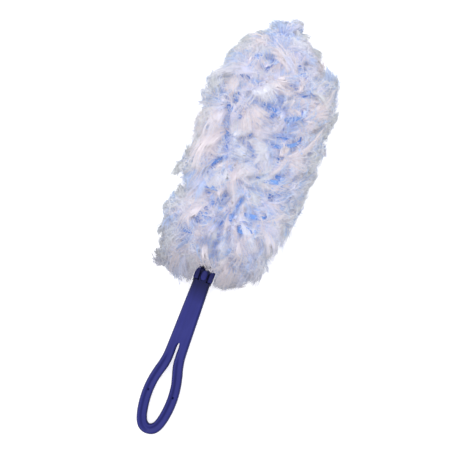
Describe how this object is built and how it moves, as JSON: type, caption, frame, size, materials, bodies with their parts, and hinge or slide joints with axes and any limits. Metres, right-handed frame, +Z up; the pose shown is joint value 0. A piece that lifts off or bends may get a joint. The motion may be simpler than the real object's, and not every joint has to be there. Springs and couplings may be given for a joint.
{
  "type": "microfiber duster",
  "caption": "Hand duster: a flat looped grip hinged to a two-pronged fork, carrying a slip-on refill of fluffy white and blue fibre layers on a pocketed sleeve.",
  "frame": {"origin": "on the floor plane, under the middle of the bounding box, with the duster lying on its lower fibres and the end of its loop", "axes": "+Y along the duster from the loop towards the tip of the refill, +X across it to the right as seen from above with the refill ahead, +Z up"},
  "size_m": [0.105, 0.3514, 0.0607],
  "materials": {
    "indigo_plastic": "satin",
    "nonwoven_sheet": "matte",
    "pale_blue_nonwoven": "matte",
    "white_fibre": "matte",
    "blue_fibre": "matte"
  },
  "bodies": {
    "fork": {"fork": "indigo_plastic"},
    "refill": {"sleeve_sheet_upper": "nonwoven_sheet", "sleeve_sheet_lower": "nonwoven_sheet", "tow_white_outer_upper": "white_fibre", "tow_white_outer_lower": "white_fibre", "tow_white_inner_upper": "white_fibre", "tow_white_inner_lower": "white_fibre", "slit_sheet_upper": "pale_blue_nonwoven", "slit_sheet_lower": "pale_blue_nonwoven", "tow_blue_upper": "blue_fibre", "tow_blue_lower": "blue_fibre"},
    "grip": {"grip": "indigo_plastic"},
    "press_pad": {"press_pad": "indigo_plastic"}
  },
  "joints": [
    {"name": "grip_fold", "type": "hinge", "parent": "fork", "child": "grip", "pos_m": [0, -0.03507, 0.01745], "axis": [-1, 0, 0], "range_deg": [0, 90]},
    {"name": "refill_slide", "type": "slide", "parent": "fork", "child": "refill", "axis": [0, 0.9944, 0.1061], "range_m": [0, 0.175]},
    {"name": "pad_press", "type": "slide", "parent": "grip", "child": "press_pad", "axis": [0, 0.1061, -0.9944], "range_m": [0, 0.001], "stiffness_N_per_m": 1500}
  ]
}
